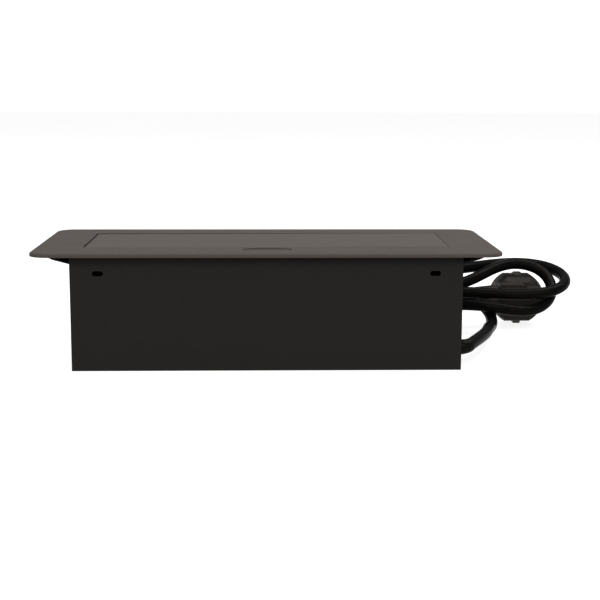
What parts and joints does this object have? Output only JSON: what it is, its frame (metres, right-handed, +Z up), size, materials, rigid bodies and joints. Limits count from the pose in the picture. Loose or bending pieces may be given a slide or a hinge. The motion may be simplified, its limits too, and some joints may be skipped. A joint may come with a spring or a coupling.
{
  "type": "desk power strip",
  "caption": "Built-in desk socket box with a bevelled frame, hinged lid, push-button release, earthed sockets, a USB charger and a tied mains lead with an angled plug.",
  "frame": {"origin": "middle of the box's underside, without the lead and plug", "axes": "+X along the box, +Y towards the lid's hinge, +Z up out of the desk"},
  "size_m": [0.3377, 0.1765, 0.0687],
  "materials": {
    "powder_coat": "fine textured matt",
    "brushed_black": "brushed satin",
    "black_plastic": "moulded satin",
    "grey_plastic": "moulded satin",
    "cord_pvc": "smooth satin",
    "zinc_steel": "plated",
    "brass": "bright",
    "circuit_board": "solder mask",
    "wire_brown": "smooth",
    "wire_blue": "smooth",
    "wire_green": "smooth"
  },
  "bodies": {
    "box": {"top_frame": "powder_coat", "box_wrap": "powder_coat", "end_wall_left": "powder_coat", "end_wall_right": "powder_coat", "frame_nut_1": "zinc_steel", "frame_nut_2": "zinc_steel", "frame_nut_3": "zinc_steel", "frame_nut_4": "zinc_steel", "hinge_pin_left": "zinc_steel", "hinge_clip_left": "zinc_steel", "hinge_pin_right": "zinc_steel", "hinge_clip_right": "zinc_steel", "button_spring": "zinc_steel", "button_guide": "black_plastic", "socket_carrier": "powder_coat", "socket_1_front": "black_plastic", "socket_1_base": "black_plastic", "socket_1_contact_left": "brass", "socket_1_contact_right": "brass", "socket_1_earth_strap": "zinc_steel", "socket_2_front": "black_plastic", "socket_2_base": "black_plastic", "socket_2_contact_left": "brass", "socket_2_contact_right": "brass", "socket_2_earth_strap": "zinc_steel", "socket_3_front": "black_plastic", "socket_3_base": "black_plastic", "socket_3_contact_left": "brass", "socket_3_contact_right": "brass", "socket_3_earth_strap": "zinc_steel", "usb_housing": "black_plastic", "usb_port_1": "zinc_steel", "usb_port_2": "zinc_steel", "usb_board": "circuit_board", "terminal_block": "grey_plastic", "terminal_cover": "grey_plastic", "wire_live": "wire_brown", "wire_neutral": "wire_blue", "wire_earth": "wire_green", "mains_cord": "cord_pvc", "cord_boot": "black_plastic", "cord_tie": "black_plastic", "plug_body": "black_plastic", "plug_pin_left": "zinc_steel", "plug_pin_right": "zinc_steel", "plug_earth_top": "brass", "plug_earth_bottom": "brass"},
    "lid": {"lid": "brushed_black", "lid_keeper": "zinc_steel"},
    "button": {"release_button": "black_plastic", "catch_magnet": "zinc_steel"},
    "shutter_1": {"socket_1_shutter": "grey_plastic"},
    "shutter_2": {"socket_2_shutter": "grey_plastic"},
    "shutter_3": {"socket_3_shutter": "grey_plastic"}
  },
  "joints": [
    {"name": "lid_hinge", "type": "hinge", "parent": "box", "child": "lid", "pos_m": [0, 0.0334, 0.0663], "axis": [-1, 0, 0], "range_deg": [0, 95]},
    {"name": "button_press", "type": "slide", "parent": "box", "child": "button", "axis": [0, 0, -1], "range_m": [0, 0.002], "stiffness_N_per_m": 400, "springref_m": -0.001, "deforming": ["button_spring"]},
    {"name": "shutter_1_slide", "type": "slide", "parent": "box", "child": "shutter_1", "axis": [-1, 0, 0], "range_m": [0, 0.0058], "stiffness_N_per_m": 20, "springref_m": -0.002},
    {"name": "shutter_2_slide", "type": "slide", "parent": "box", "child": "shutter_2", "axis": [-1, 0, 0], "range_m": [0, 0.0058], "stiffness_N_per_m": 20, "springref_m": -0.002},
    {"name": "shutter_3_slide", "type": "slide", "parent": "box", "child": "shutter_3", "axis": [-1, 0, 0], "range_m": [0, 0.0058], "stiffness_N_per_m": 20, "springref_m": -0.002}
  ]
}
